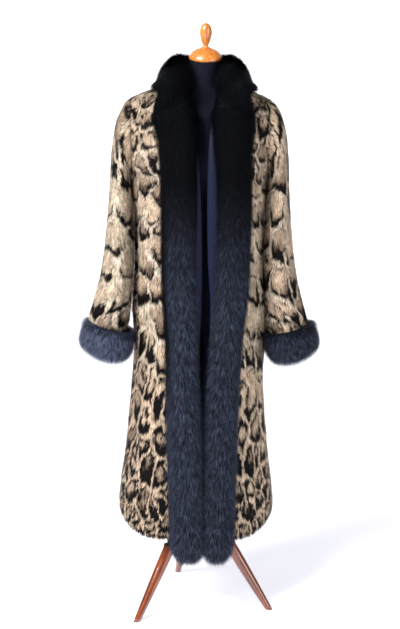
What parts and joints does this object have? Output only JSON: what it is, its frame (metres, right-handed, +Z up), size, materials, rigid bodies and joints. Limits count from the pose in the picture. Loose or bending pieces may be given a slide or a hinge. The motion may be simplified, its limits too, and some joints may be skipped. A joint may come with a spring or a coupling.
{
  "type": "fur coat on a dress form",
  "caption": "Long open fur coat with a shawl collar, fur front bands and cuffs, on a limbless dress form with a turned wooden tripod stand.",
  "frame": {"origin": "on the floor, under the middle of the bounding box", "axes": "+Z up, the front faces -Y, +X to the right as seen from the front"},
  "size_m": [0.6666, 0.4372, 1.6158],
  "materials": {
    "spotted_fur": "short glossy fur, tan with near-black markings",
    "long_fur": "long blue-black fur",
    "lining": "navy satin",
    "form_cover": "dark jersey",
    "turned_wood": "lacquered beech",
    "stand_wood": "glossy red-brown varnish"
  },
  "bodies": {
    "root": {"back_panel": "spotted_fur", "front_panel_left": "spotted_fur", "front_panel_right": "spotted_fur", "sleeve_left": "spotted_fur", "sleeve_right": "spotted_fur", "cuff_left": "long_fur", "cuff_right": "long_fur", "band_left": "long_fur", "band_right": "long_fur", "collar": "long_fur", "lining_back": "lining", "lining_front_left": "lining", "lining_front_right": "lining", "form_torso": "form_cover", "neck_cap": "turned_wood", "finial": "turned_wood", "hub": "stand_wood", "pole": "stand_wood", "leg_right": "stand_wood", "leg_back": "stand_wood", "leg_left": "stand_wood"}
  },
  "joints": []
}
